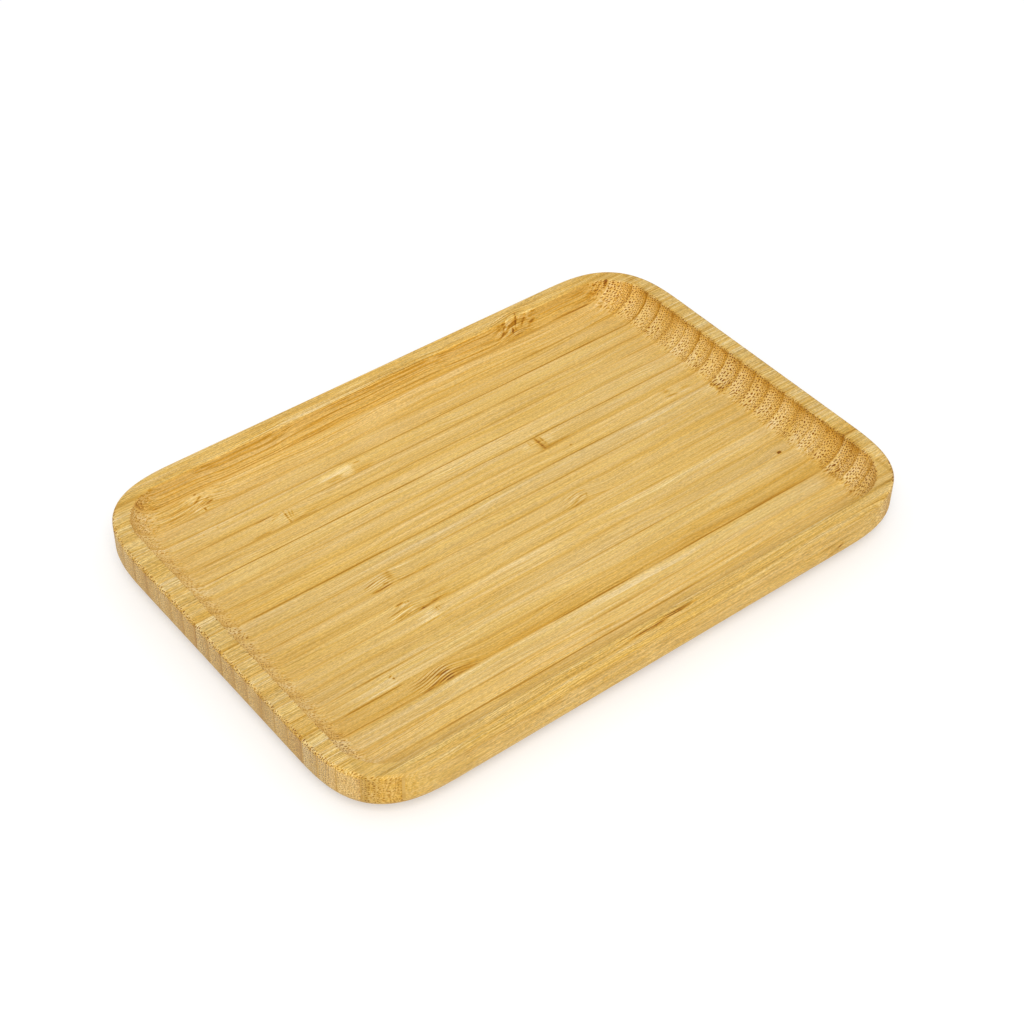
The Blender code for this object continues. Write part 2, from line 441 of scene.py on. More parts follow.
def knuckle(along, *strokes, **changes):
    """One knuckle, where a joint of the culm crossed the strip, and how it shows on the sanded face.

    The fibres climb towards it and sink back behind it. fan is the strength of the dark and pale lines along
    them, heel that of the blotch in which they end, patch that of the pale patch before it and glow that of
    the amber streak behind it. Each stroke lists what stroke takes.
    """
    return {
        "along": along * MM, "strokes": [stroke(*values) for values in strokes], "climb": 0.8,
        "before": 6 * MM, "behind": 6 * MM, "fan": 0.3, "fan_reach": 8 * MM,
        "fan_shares": (0.1, 0.9), "heel": 0.0, "heel_share": 0.1, "patch": 0.4, "patch_reach": 5 * MM,
        "patch_shares": (0.2, 0.85), "glow": 0.4, "glow_reach": 9 * MM,
        **changes,
    }


def marks(along, *strokes):
    """Marks alone, which the fibres pass straight by."""
    return knuckle(along, *strokes, climb=0, fan=0, patch=0, glow=0)


# How a knuckle's lines, heel, patch and glow fade and end
FAN_LEAST = 0.35
FAN_BEHIND = 0.7
FAN_TAIL = 3 * MM
FAN_SOFTNESS = 0.7 * MM
FAN_SOFT_SHARE = 0.08
HEEL = (-5 * MM, 0.1 * MM, 0.8 * MM)
HEEL_SPREAD = 0.17
PATCH_RAGGEDNESS = 0.45 * MM
PATCH_WAVES = 17
PATCH_SHIFT = 9 / MM
PATCH_END = -0.3 * MM
PATCH_SOFT_SHARE = 0.12
GLOW_START = (0, math.inf, 0.5 * MM)
GLOW_SHARE = 0.08
GLOW_SPREAD = 0.16
MARK_BOLDNESS = 1.35


def add_knuckle(parts, x, z, offset, share, mark):
    """Add one knuckle to the amber, brown, pale and fan shares and to the swerve of the fibres."""
    along = x - mark["along"]
    parts["swerve"] += mark["climb"] * bell(along, np.where(along < 0, mark["before"], mark["behind"]))
    low, high = mark["fan_shares"]
    nearness = np.clip(1 + along / mark["fan_reach"], 0, 1)
    fan = window(along, -mark["fan_reach"], 3 * FAN_TAIL, FAN_SOFTNESS)
    fan = fan * window(share, low, high, FAN_SOFT_SHARE)
    behind = FAN_BEHIND * np.exp(-np.abs(along) / FAN_TAIL)
    parts["fan"] += mark["fan"] * fan * np.where(along < 0, FAN_LEAST + (1 - FAN_LEAST) * nearness, behind)
    heel = bell(share - mark["heel_share"], HEEL_SPREAD) * window(along, *HEEL)
    parts["brown"] += mark["heel"] * heel * nearness
    low, high = mark["patch_shares"]
    ragged = PATCH_RAGGEDNESS * np.sin(PATCH_WAVES * share + PATCH_SHIFT * mark["along"]) * (1 - nearness)
    patch = window(along + ragged, -mark["patch_reach"], PATCH_END, PATCH_RAGGEDNESS)
    parts["pale"] += mark["patch"] * patch * window(share, low, high, PATCH_SOFT_SHARE) * nearness
    fade = np.exp(-np.clip(along, 0, None) / mark["glow_reach"]) * window(along, *GLOW_START)
    parts["amber"] += mark["glow"] * fade * bell(share - GLOW_SHARE, GLOW_SPREAD)
    for line in mark["strokes"]:
        right, up = along - line["along"], offset - line["share"] * STRIP_THICKNESS
        if line["height"] is not None:
            up = z - line["height"] * MM
        level = right * math.cos(line["turn"]) + up * math.sin(line["turn"])
        aside = up * math.cos(line["turn"]) - right * math.sin(line["turn"])
        drawn = np.exp(-((2 * level / line["length"]) ** 4)) * bell(aside, line["thick"])
        parts["brown" if line["dark"] > 0 else "pale"] += MARK_BOLDNESS * abs(line["dark"]) * drawn


def left_parts(places, normals):
    """Which points lie past the recess on the left, which elsewhere, and which of those where it turns."""
    past = places[:, :, 0] < RIM_WIDTH - half_length
    short = (places[:, :, 0] < 0) & ~past
    return past, short, short & (normals[:, :, 0] < 0)


def near_parts(y):
    """The shares of the strip that turns the near corner and of the one beside it."""
    return window(y, *NEAR_CORNER), window(y, *NEAR_BEND)


def past_recess(x, y):
    """How far past the recess's edge a point lies, below nought inside it."""
    return np.maximum(np.abs(x) - half_length, np.abs(y) - half_width) + RIM_WIDTH


def zones(places, normals):
    """The share of each part of the board at each point; end faces and coves count as they cut the fibres."""
    x, y, z = np.moveaxis(places, 2, 0)
    squareness = np.abs(normals[:, :, 0])
    past, short, turned = left_parts(places, normals)
    corner, bend = near_parts(y)
    far = window(y, *FAR_CORNER)
    right_cove_painted_light = (x > 0) & (x < half_length - RIM_WIDTH)
    lip = window(past_recess(x, y), *LIP)
    rim = (past_recess(x, y) > RIM_START) * (normals[:, :, 2] > LEVEL_ENOUGH)
    # Most of these parts brighten or dim the colour as painted light and shade
    return {
        "left_end_painted_shade": np.exp(-np.abs(x + half_length) / END_REACH),
        "right_end_painted_shade": np.exp(-np.abs(x - half_length) / END_REACH),
        "left_face_painted_light": past * squareness,
        "left_cove": short * squareness * (1 - FAR_LEFT_LESS * far),
        "right_cove_painted_light": right_cove_painted_light * squareness * (1 + FAR_RIGHT_MORE * far),
        "long_sides_painted_light": (np.abs(y) > half_width - RIM_WIDTH) * np.abs(normals[:, :, 1]),
        "near_corner": corner * past * squareness,
        "near_bend_painted_light": bend * past * squareness,
        "turned_face": turned * squareness,
        "right_lip": lip * window(x, *RIGHT_LIP),
        "front_lip_painted_shade": lip * window(y, *FRONT_LIP),
        "left_rim": rim * (x < LEFT_RIM_REACH - half_length),
        "back_rim": rim * window(y, *BACK_RIM),
        "front_rim": (y < FRONT_STRIP_WIDTH - half_width) * window(z, *FRONT_RIM),
        "front_face": (y < FRONT_FACE_REACH - half_width) * window(z, *FRONT_FACE),
    }


def end_grain(places, normals):
    """How plainly the end grain shows, which was sanded finer in the left cove, and how greyed it is."""
    x, y, z = np.moveaxis(places, 2, 0)
    past, short, turned = left_parts(places, normals)
    corner, bend = near_parts(y)
    edge = window(z, *LEFT_EDGE)
    opened = np.where(past, 1 + LEFT_FACE_OPENED * (1 - edge), np.where(short, LEFT_COVE_OPEN, 1.0))
    opened = opened * (1 - (NEAR_BEND_CLOSED * bend + NEAR_CORNER_CLOSED * corner) * past)
    opened = opened * (1 - TURNED_FACE_CLOSED * turned)
    opened = opened * (1 - FRONT_STRIP_CLOSED * (x < 0) * (y < FRONT_STRIP_WIDTH - half_width))
    greyed = np.where(past, GREYED_FACE * (1 - edge), GREYED_COVE * short) * (1 - corner)
    return opened, greyed


def figure_strength(places, normals):
    """How strong the figure is: more on the rim and the outer faces, but not at the near corner."""
    x, y = places[:, :, 0], places[:, :, 1]
    strength = np.where(past_recess(x, y) > 0, WORN_FIGURE, FLOOR_FIGURE)
    strength = np.where(np.abs(y) > half_width - FACE_REACH, FACE_FIGURE, strength)
    near_face = (near_parts(y)[0] > 0.5) & (x < 0) & (normals[:, :, 0] < 0)
    return np.where(near_face, FLOOR_FIGURE, strength)


def figure(places, normals, front, back, look, seed):
    """What the finish reads at each point of a strip.

    grain is the place within the culm in millimetres, along and across the fibres, which swerve at a knuckle
    and waver slowly. coat holds how deep the colour is, how bright, by the strip's own shade and by painted
    light and shade on parts of the board, and how close a dark joint. stain holds how amber, how brown and
    how pale the point is. cut holds how near the culm's skin it lies, how squarely the surface cuts the
    fibres, and how strongly their lines show. open holds how plainly the end grain shows, how greyed it is,
    and how strong the amber flames are. bundled holds how close together the fibre bundles lie, how dark
    they are, and how strong the whole figure is.
    """
    random = np.random.default_rng(seed)
    x, y, z = np.moveaxis(places, 2, 0)
    offset = y - front
    share = offset / (back - front)
    dense = share if look["skin_behind"] else 1 - share
    parts = {part: np.zeros_like(x) for part in ("amber", "brown", "pale", "fan", "swerve")}
    for mark in look["knuckles"]:
        add_knuckle(parts, x, z, offset, share, mark)

    waver, spread = np.zeros_like(x), np.zeros_like(x)
    for length, height in WAVERS:
        turn, second, lift = random.uniform(0, 2 * math.pi, 3)
        angle = x / MM * 2 * math.pi / length
        waver += height * np.sin(angle + turn + WAVER_TURN_UP * z / MM + lift)
        spread += WAVER_SHARE_ACROSS * height * np.sin(WAVER_RATE_ACROSS * angle + second)
    shift = random.uniform(0, CULM_PLACES, 3)
    grain = np.stack([
        x / MM + shift[0],
        offset / MM + waver + spread * share - parts["swerve"] + shift[1],
        z / MM + WAVER_SHARE_UP * waver + shift[2],
    ], axis=2)

    seam = joint_strength(look["number"], places) * np.exp(-offset / SEAM_REACH)
    seam += joint_strength(look["number"] + 1, places) * np.exp(-(back - y) / SEAM_REACH)
    tone = look["tone"] + look["skin"] * dense**4 + look["drift"] * x / half_length / 2
    brightness_and_painted_light = BRIGHTNESS + look["shade"] + PITH_LIFT * bell(back - y - PITH_PLACE, PITH_WIDTH)
    # Each part deepens the colour and brightens or dims it, mostly as painted light and shade
    for zone, zone_share in zones(places, normals).items():
        deeper, brighter = ZONE_LOOKS[zone]
        tone = tone + deeper * zone_share
        brightness_and_painted_light = brightness_and_painted_light + brighter * zone_share

    opened, greyed = end_grain(places, normals)
    back_cove = (x > 0) & (x < half_length - RIM_WIDTH) & (y > half_width - BACK_BUNDLES_REACH)
    dense = dense * (1 - BACK_BUNDLES_SPARSER * back_cove)
    closeness, boldness, flames = (np.full_like(x, number) for number in (*look["bundles"], look["flames"]))
    stain = np.stack([parts["amber"], parts["brown"], parts["pale"]], axis=2)
    return {
        "grain": grain,
        "bundled": np.stack([closeness, boldness, figure_strength(places, normals)], axis=2),
        "open": np.stack([opened, greyed, flames], axis=2),
        "coat": np.stack([tone, brightness_and_painted_light, seam], axis=2),
        "stain": np.clip(stain, 0, (1, BROWNEST, 1)),
        "cut": np.stack([dense, np.abs(normals[:, :, 0]), np.clip(parts["fan"], 0, 1)], axis=2),
    }


def sanded(places, normals, front, back, seed):
    """Draw the surface in by the eased edges at the joints and by the long, shallow waves of sanding."""
    random = np.random.default_rng(seed)
    x, y = places[:, :, 0], places[:, :, 1]
    depth = np.zeros_like(x)
    if front > -half_width + MM:
        depth += EASED_EDGE_DEPTH * np.exp(-(y - front) / EASED_EDGE_WIDTH)
    if back < half_width - MM:
        depth += EASED_EDGE_DEPTH * np.exp(-(back - y) / EASED_EDGE_WIDTH)
    share = SANDING_WAVE / len(SANDING_WAVE_LENGTHS)
    for length in SANDING_WAVE_LENGTHS:
        turn = random.uniform(0, 2 * math.pi)
        depth += share * (1 + np.sin(2 * math.pi * x / length + turn)) / 2
    return places - normals * depth[:, :, None]


def make_strip(name, finish, *knuckles, **changes):
    """Replace one strip of the model by its fine surface, finish and figure.

    tone is how much deeper than the average its colour is, shade how much brighter, skin how much deeper it
    gets towards the culm's skin, drift how much deeper towards the right end, and flames how strong its short
    amber streaks are. bundles holds how close together its fibre bundles lie and how dark they are.
    """
    number = STRIP_NAMES.index(name)
    low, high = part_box(name)
    rows, ceilings = spread_rows(low.y, high.y)
    places, normals = closed_band(rows, ceilings, spread_columns(knuckles))
    look = {"tone": 0.0, "shade": 0.0, "skin": 0.2, "drift": 0.0, "flames": 0.6, "bundles": (1.0, 1.0),
            "skin_behind": False, "knuckles": knuckles, "number": number, **changes}
    values = figure(places, normals, low.y, high.y, look, number)
    places = sanded(places, normals, low.y, high.y, number)
    piece = shaped_piece("bamboo_" + name, places, band_faces(*places.shape[:2]), values)
    piece.data.materials.append(finish)
    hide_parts(name)
    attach(piece, "root")
    return piece


def add_node(tree, kind, sockets, **settings):
    """One shader node: its settings, then each socket joined to another or given its value."""
    made = tree.nodes.new("ShaderNode" + kind)
    for setting, value in settings.items():
        setattr(made, setting, value)
    for socket, value in sockets.items():
        if isinstance(value, bpy.types.NodeSocket):
            tree.links.new(value, made.inputs[socket])
        else:
            made.inputs[socket].default_value = value
    return made


def reckon(tree, operation, first, second=0.0, third=0.0, clamp=False):
    """The result of one sum."""
    sockets = {0: first, 1: second, 2: third}
    return add_node(tree, "Math", sockets, operation=operation, use_clamp=clamp).outputs[0]


def read(tree, name, output="Vector"):
    """One of the values that a piece carries."""
    return add_node(tree, "Attribute", {}, attribute_name=name).outputs[output]


def parted(tree, vector):
    """The three parts of a value that holds three."""
    return add_node(tree, "SeparateXYZ", {0: vector}).outputs


def streaks(tree, grain, along, across, through, detail=3.0):
    """Noise drawn out along the fibres; the sizes are in millimetres."""
    sockets = {0: grain, 1: (1 / along, 1 / across, 1 / through)}
    place = add_node(tree, "VectorMath", sockets, operation="MULTIPLY").outputs[0]
    sockets = {"Vector": place, "Scale": 1.0, "Detail": detail, "Roughness": 0.55}
    return add_node(tree, "TexNoise", sockets).outputs["Fac"]


def stretch(tree, value, low, high, to_low=0.0, to_high=1.0):
    """The value's range from low to high, spread smoothly over another range."""
    sockets = {"Value": value, "From Min": low, "From Max": high, "To Min": to_low, "To Max": to_high}
    return add_node(tree, "MapRange", sockets, interpolation_type="SMOOTHSTEP").outputs[0]


def tint(tree, share, first, second, blend="MIX"):
    """Two colours mixed by a share."""
    sockets = {0: share, 6: first, 7: second}
    return add_node(tree, "Mix", sockets, data_type="RGBA", blend_type=blend).outputs[2]


# The colours from the palest through honey and amber to the darkest, and the depth at which each is reached
PALE = (0.840, 0.652, 0.345, 1)
DEPTHS = (
    (0.06, (0.795, 0.578, 0.256, 1)),
    (0.14, (0.766, 0.520, 0.186, 1)),
    (0.25, (0.730, 0.464, 0.126, 1)),
    (0.37, (0.676, 0.396, 0.076, 1)),
    (0.50, (0.595, 0.312, 0.034, 1)),
    (0.63, (0.500, 0.232, 0.016, 1)),
    (0.80, (0.370, 0.148, 0.006, 1)),
)
DARKEST = (0.250, 0.085, 0.003, 1)
GREYED = (0.640, 0.480, 0.270, 1)
YELLOWED = (0.995, 0.962, 0.735, 1)
DEPTH_SHARE = 0.5

# The streaks: their sizes along, across and through the strip in millimetres, and how detailed they are
BROAD_STREAKS = (75, 2.4, 3.2)
MIDDLE_STREAKS = (30, 0.85, 1.2)
FINE_STREAKS = (14, 0.30, 0.45)
LINE_STREAKS = (48, 0.24, 0.40, 2.0)
HAIR_STREAKS = (1.0, 0.17, 0.24, 2.0)
VEIN_STREAKS = (60, 0.30, 0.7, 2.0)
RESIN_STREAKS = (55, 1.5, 2.1, 4.0)

# The bundles: how far their rows sway, how they are scattered, and where core, edge and ring end, in radii
SWAY_SCALE = 0.42
SWAY = 1.5
BUNDLE_SCATTER = 0.38
BUNDLE_EDGES = (0.5, 1.5, 2.4)
RING_PALENESS = 0.14
BUNDLE_DARKNESS = 1.2
SPARSE_BUNDLES = (0.80, 0.195)
DENSE_BUNDLES = (0.56, 0.145)
CROWD_RANGE = (0.45, 0.72)
END_GRAIN_RANGE = (0.08, 0.55)

# How much deeper each part of the figure makes the colour
BASE_DEPTH = 0.34
BROAD_DEPTH = 0.38
MIDDLE_DEPTH = 0.48
LINE_DEPTH = 0.20
FLAME_DEPTH = 0.24
FLAME_LEAST = 0.08
FLAME_SPREAD = 0.04
FLAME_RANGE = (0.57, 0.68)
LINE_RANGE = (0.36, 0.64, -0.5, 0.5)
CUT_DEPTH = 1.95
CUT_LEAST = 0.08
SKIN_DEPTH = 0.36
END_DEPTH = 0.01
# CROWN_DEPTH deepens the steepest end grain, under the rims and on the end faces, partly as its deeper amber
# and partly as painted shade
CROWN_DEPTH = 0.24
SEAM_DEPTH = 1.2
SEAM_RANGE = (0.32, 0.66, 0.2, 1.0)
FAN_LINE_SPACING = 0.92
FAN_LINE_WOBBLE = 0.7
FAN_LINE_RANGE = (-0.7, 1.1, -0.50, 1.15)
BROWN_RANGE = (0.34, 0.62, 0.45, 1.9)
PALE_RANGE = (0.62, 0.38, -0.15, -0.75)
RESIN_RANGE = (0.36, 0.66)

# The brightness, roughness and relief
LEVEL = 1.004
LINE_DIMMED = -0.16
HAIR_DIMMED = -0.30
PALE_LIFT = 0.09
ROUGHNESS = 0.44
ROUGHNESS_SPREAD = 0.16
END_ROUGHNESS = 0.08
SPECULAR = 0.28
BUNDLE_RELIEF = -0.8
HAIR_RELIEF = 0.5
RELIEF_STRENGTH = 0.5
RELIEF_DEPTH = 0.05 * MM


def cross_section(tree, grain, closeness):
    """The place across the fibres, swayed so that the rows of bundles wander, and drawn together or apart."""
    sockets = {"Vector": grain, "Scale": SWAY_SCALE, "Detail": 1.5, "Roughness": 0.5}
    sway = add_node(tree, "TexNoise", sockets).outputs["Color"]
    level = add_node(tree, "VectorMath", {0: grain, 1: (0, 1, 1)}, operation="MULTIPLY").outputs[0]
    sockets = {0: sway, 1: (0, SWAY, SWAY), 2: level}
    swayed = add_node(tree, "VectorMath", sockets, operation="MULTIPLY_ADD").outputs[0]
    sockets = {0: swayed, "Scale": closeness}
    return add_node(tree, "VectorMath", sockets, operation="SCALE").outputs[0]


def bundle_dots(tree, section, spacing, radius):
    """Fibre bundles cut across: dark dots in pale rings, scattered at a spacing in millimetres."""
    place = parted(tree, section)
    row = reckon(tree, "MULTIPLY", place[1], 1 / spacing)
    column = reckon(tree, "MULTIPLY", place[2], 1 / spacing)
    slipped = reckon(tree, "MULTIPLY_ADD", row, 0.5, column)
    flat = add_node(tree, "CombineXYZ", {0: row, 1: slipped}).outputs[0]
    sockets = {"Vector": flat, "Scale": 1.0, "Randomness": BUNDLE_SCATTER}
    cell = add_node(tree, "TexVoronoi", sockets, voronoi_dimensions="2D").outputs["Distance"]
    core, rim, halo = (radius * share / spacing for share in BUNDLE_EDGES)
    dot = stretch(tree, cell, rim, core)
    ring = stretch(tree, cell, halo, rim, 0.0, -RING_PALENESS)
    return reckon(tree, "MULTIPLY_ADD", dot, BUNDLE_DARKNESS, ring)


def bamboo(slot, warmth):
    """Sanded, lightly oiled bamboo: one scale of depth from pale tan through honey and amber to brown.

    The depth adds up the strip's own tone, streaks of three sizes and lines along the fibres, short amber
    flames, the fibre bundles where the surface cuts them, a deeper colour on the end grain that is partly
    painted shade, the dark joints, and the marks at the knuckles. Its colour is then yellowed in broad
    streaks, greyed on the end grain, and brightened or dimmed by the strip's own shade and by painted light
    and shade.
    """
    material = bpy.data.materials.new("sanded_" + slot)
    material.use_nodes = True
    tree = material.node_tree
    shader = tree.nodes["Principled BSDF"]
    grain = read(tree, "grain")
    tone, brightness_and_painted_light, seam = parted(tree, read(tree, "coat"))
    amber, brown, pale = parted(tree, read(tree, "stain"))
    dense, squareness, fan = parted(tree, read(tree, "cut"))
    openness, greyed, flames = parted(tree, read(tree, "open"))
    closeness, boldness, worn = parted(tree, read(tree, "bundled"))
    added = functools.partial(reckon, tree, "MULTIPLY_ADD")
    times = functools.partial(reckon, tree, "MULTIPLY")
    spread = functools.partial(stretch, tree)
    streaky = functools.partial(streaks, tree, grain)
    end_share = spread(squareness, *END_GRAIN_RANGE)

    broad = streaky(*BROAD_STREAKS)
    middle = streaky(*MIDDLE_STREAKS)
    fine = streaky(*FINE_STREAKS)
    lines = spread(streaky(*LINE_STREAKS), *LINE_RANGE)
    hair = streaky(*HAIR_STREAKS)
    flecks = spread(hair, *LINE_RANGE)
    flame = spread(added(flames, FLAME_SPREAD, streaky(*VEIN_STREAKS)), *FLAME_RANGE)

    depth = added(middle, MIDDLE_DEPTH, -MIDDLE_DEPTH / 2)
    depth = added(lines, LINE_DEPTH, depth)
    depth = added(depth, worn, tone)
    depth = added(broad, BROAD_DEPTH, reckon(tree, "SUBTRACT", depth, BROAD_DEPTH / 2))
    depth = reckon(tree, "ADD", depth, BASE_DEPTH + warmth)

    section = cross_section(tree, grain, closeness)
    crowd = spread(dense, *CROWD_RANGE)
    sockets = {0: crowd, 2: bundle_dots(tree, section, *SPARSE_BUNDLES)}
    sockets[3] = bundle_dots(tree, section, *DENSE_BUNDLES)
    dots = add_node(tree, "Mix", sockets).outputs[0]
    opened = times(end_share, openness)
    cut = added(times(opened, boldness), CUT_DEPTH, CUT_LEAST)
    # On the end grain the colour deepens towards the culm's skin, which is the wood's own amber, and on the
    # steepest faces, which is partly deeper amber and partly painted shade
    skin = reckon(tree, "POWER", dense, 4.0)
    crown = reckon(tree, "POWER", squareness, 5.0)
    end_amber_and_painted_shade = times(end_share, added(skin, SKIN_DEPTH, END_DEPTH))
    end_amber_and_painted_shade = added(crown, CROWN_DEPTH, end_amber_and_painted_shade)

    turns = times(parted(tree, grain)[1], 2 * math.pi / FAN_LINE_SPACING)
    wave = added(lines, FAN_LINE_WOBBLE, reckon(tree, "SINE", turns))
    for part, strength in (
        (flame, added(flames, FLAME_DEPTH, FLAME_LEAST)), (dots, cut), (end_amber_and_painted_shade, openness),
        (added(seam, SEAM_DEPTH, amber), spread(middle, *SEAM_RANGE)), (spread(wave, *FAN_LINE_RANGE), fan),
        (brown, spread(fine, *BROWN_RANGE)), (pale, spread(fine, *PALE_RANGE)),
    ):
        depth = added(part, strength, depth)

    ramp = add_node(tree, "ValToRGB", {0: times(depth, DEPTH_SHARE)})
    stops = ramp.color_ramp.elements
    stops[0].position, stops[0].color = 0.0, PALE
    stops[1].position, stops[1].color = 1.0, DARKEST
    for position, colour in DEPTHS:
        stops.new(position).color = colour
    resin = spread(streaky(*RESIN_STREAKS), *RESIN_RANGE)
    yellowed = tint(tree, resin, ramp.outputs[0], YELLOWED, "MULTIPLY")
    colour = tint(tree, times(end_share, greyed), yellowed, GREYED)

    level = added(lines, LINE_DIMMED, times(flecks, HAIR_DIMMED))
    level = added(level, reckon(tree, "SQRT", worn), LEVEL)
    level = added(pale, PALE_LIFT, level)
    # The brightness carries the strip's own shade and the painted light and shade of the board's parts
    level = times(level, brightness_and_painted_light)
    grey = add_node(tree, "CombineXYZ", {0: level, 1: level, 2: level}).outputs[0]
    colour = tint(tree, 1.0, colour, grey, "MULTIPLY")

    tree.links.new(colour, shader.inputs["Base Color"])
    rough = added(fine, ROUGHNESS_SPREAD, ROUGHNESS)
    rough = added(end_share, END_ROUGHNESS, rough)
    tree.links.new(rough, shader.inputs["Roughness"])
    shader.inputs["Specular IOR Level"].default_value = SPECULAR
    relief = added(dots, times(opened, BUNDLE_RELIEF), fine)
    relief = added(hair, HAIR_RELIEF, relief)
    sockets = {"Height": relief, "Strength": RELIEF_STRENGTH, "Distance": RELIEF_DEPTH}
    bump = add_node(tree, "Bump", sockets)
    tree.links.new(bump.outputs[0], shader.inputs["Normal"])
    material.diffuse_color = PALE
    return material


pale_bamboo = bamboo("pale_bamboo", 0.00)

make_strip("strip_02", pale_bamboo, knuckle(
    -1, (-6, 7, 18, 0, 50), (1, 17, 22, 1, 80, 26), (6, 28, 13, 0, 70), (-9, 33, 10, 1, 40, 20), climb=0.3,
    fan=0, patch=0, glow=0,
), tone=0.06, shade=-0.05, skin=0.08)
make_strip("strip_03", pale_bamboo, tone=0.08, shade=-0.01, skin=0.05, bundles=(0.95, 1.1))
make_strip("strip_05", pale_bamboo, marks(
    84, (6, 45, 13, 0, 30, 260),
), tone=-0.15, shade=-0.025, skin=0.12, bundles=(1.0, 2.0))
make_strip("strip_08", pale_bamboo, knuckle(
    81.5, (0, 12, 1.3, 0, 230, 42), fan=0, patch=0, glow=0.1,
), tone=-0.03, shade=-0.052, skin=0.22, skin_behind=True)
make_strip("strip_10", pale_bamboo, knuckle(
    -44, (-2.9, 88, 2.8, 4, 65, 26), (-1.2, 82, 0.9, 75, 40), (-0.3, 82, 0.8, 75, 35),
    (-2.2, 76, 2.6, 6, -70, 24), (-5.5, 35, 6.5, 8, -80, 26), (-4, 50, 8, 4, 40, 25),
    (-4.5, 18, 5, 4, 45, 28), (1.5, 2, 1.2, 35, 70, 35), (4, 8, 7, 6, 40, 30), (8.5, 50, 7, -2, 30, 20),
    (8, 17, 6, -3, 30, 20), climb=1.3, fan=0.35, patch=0.2, glow_reach=12 * MM,
), tone=-0.02, shade=-0.02, bundles=(0.95, 1.1))
make_strip("strip_11", pale_bamboo, knuckle(
    22, (-2.5, 72, 4, 14, 30), (1, 78, 3, -8, 30), (-2, 38, 4, 20, 35), (0.5, 47, 3, 2, 35),
    (-2.5, 55, 4, 16, -50, 25), (-1, 30, 4, 10, -35, 25), (-3, 8, 6, 3, 40, 28), (3.3, 18, 2.5, 0, -30, 35),
    (1.3, 38, 1, 60, 35, 20), climb=1.4, patch=0.1, glow=0.2,
), shade=-0.022, drift=-0.02, bundles=(0.85, 1.1))
make_strip("strip_13", pale_bamboo, knuckle(
    87.4, (-0.3, 50, 4.6, 89, 75, 30), (-0.8, 80, 1.3, 60, 90, 35), (-1.1, 14, 1.5, 20, 70, 24),
    (0.7, 50, 4, 89, 30), climb=0, fan=0, patch=0.35,
), tone=-0.11, shade=-0.04, bundles=(0.82, 1.4))
make_strip("strip_15", pale_bamboo, knuckle(
    26, (0.9, 50, 5.6, 90, 30, 130), (0.75, 35, 3.6, 87, 50, 34), (0.7, 80, 2.2, 88, 30, 28),
    (-2.1, 72, 2.4, 88, 28, 20), (-1.4, 70, 2, 86, 22, 20), (2.4, 60, 3.6, 91, 40, 24),
    (5.5, 8, 9, 0, 28, 40), (-4, 50, 4, 88, -25, 120), (4.5, 62, 3, 0, -25, 120), climb=0.1, fan=0,
    patch=0.15, patch_reach=3 * MM, glow_reach=10 * MM,
), tone=-0.03, shade=-0.015, drift=-0.08)
make_strip("strip_18", pale_bamboo, knuckle(
    -51, (-0.7, 50, 5.2, 84, 60, 27), (0.6, 62, 3.6, 76, 40, 20), (1.5, 60, 3.6, 70, 32, 20),
    (-3.4, 77, 4.2, 17, 50), (-3.2, 90, 2.6, 14, 35, 20), (-6.8, 100, 6.4, 0, 70, 25),
    (-10.5, 10, 6.4, 1, 45, 30), (5, 14, 6, 5, 30), (8, 25, 7, 3, 25, 20), (3.5, 30, 3, 12, -30, 25),
    climb=0.7, fan=0.1, patch=0.45,
), tone=-0.02, shade=-0.01, skin=0.18)
make_strip("strip_20", pale_bamboo, tone=-0.04, skin=0.12, drift=0.14)


# The honey strips
# These came from a deeper-coloured part of the culm or were steamed a little longer, and lie among the
# pale ones. They are planed, glued and sanded in the same way.

honey_bamboo = bamboo("honey_bamboo", 0.04)

make_strip("front_edge_strip", honey_bamboo, marks(
    66, (0, 0, 2.6, 30, 70, 35, 8.6), (-3, 0, 4, 14, 40, 30, 7.4), (-88, 0, 2.2, 0, 45, 20, 11),
    (-71, 0, 12, 0, 40, 30, 4.2), (-63, 0, 9, 0, 45, 50, 2.6),
), tone=0.02, shade=-0.07, skin=0.1)
make_strip("strip_04", honey_bamboo, marks(
    -10, (-25, 14, 66, 0, -40, 40), (34, 20, 54, 0, -35, 35), (10, 32, 70, 0, 20, 30),
), tone=-0.13, shade=0.005, skin=0.15, flames=1.2, bundles=(1.0, 1.4))
make_strip("strip_07", honey_bamboo, knuckle(
    -64.3, (-0.1, 49, 0.6, 85, 90, 26), (-0.5, 67, 1.2, 25, 50, 24), (-6, 15, 12, 0, -50),
    (-6, 28, 10, 1, -25, 25), (-7, 45, 12, 1, -25, 60), climb=0.1, fan=0.2, fan_reach=4 * MM,
    fan_shares=(0.05, 0.35), patch=0.25, patch_reach=10 * MM, glow=0.1,
), tone=-0.15, shade=-0.02, skin=0.14)
make_strip("strip_09", honey_bamboo, knuckle(
    -40, (-4, 62, 5, 0, -50, 40), (-3.5, 36, 7, 2, -50, 30), (-2, 75, 3, 0, -40, 30),
    (0.5, 68, 1.6, 86, 35, 20), (1.4, 68, 1.4, 86, 28, 20), (-4, 24, 8, 1, 30, 20), climb=0.3, fan=0.1,
    patch=0.3, patch_shares=(0.15, 0.9), glow=0.2,
), tone=-0.15, shade=-0.01)
make_strip("strip_12", honey_bamboo, knuckle(
    -43.6, (-1.4, 28, 1.8, -3, 80, 28), (-3.4, 8, 6.5, 2, 70, 32), (-5, 62, 5, 14, 45),
    (-5, 50, 4.5, 12, -50, 20), (6, 82, 6, -6, -40, 25), (6, 15, 6, -1, -35), (8, 6, 12, 0, 35, 25),
    (1.1, 62, 4, 90, 25, 110), climb=1.0, fan=0.45, patch=0.15,
), tone=-0.06, shade=-0.02, bundles=(0.9, 1.3))
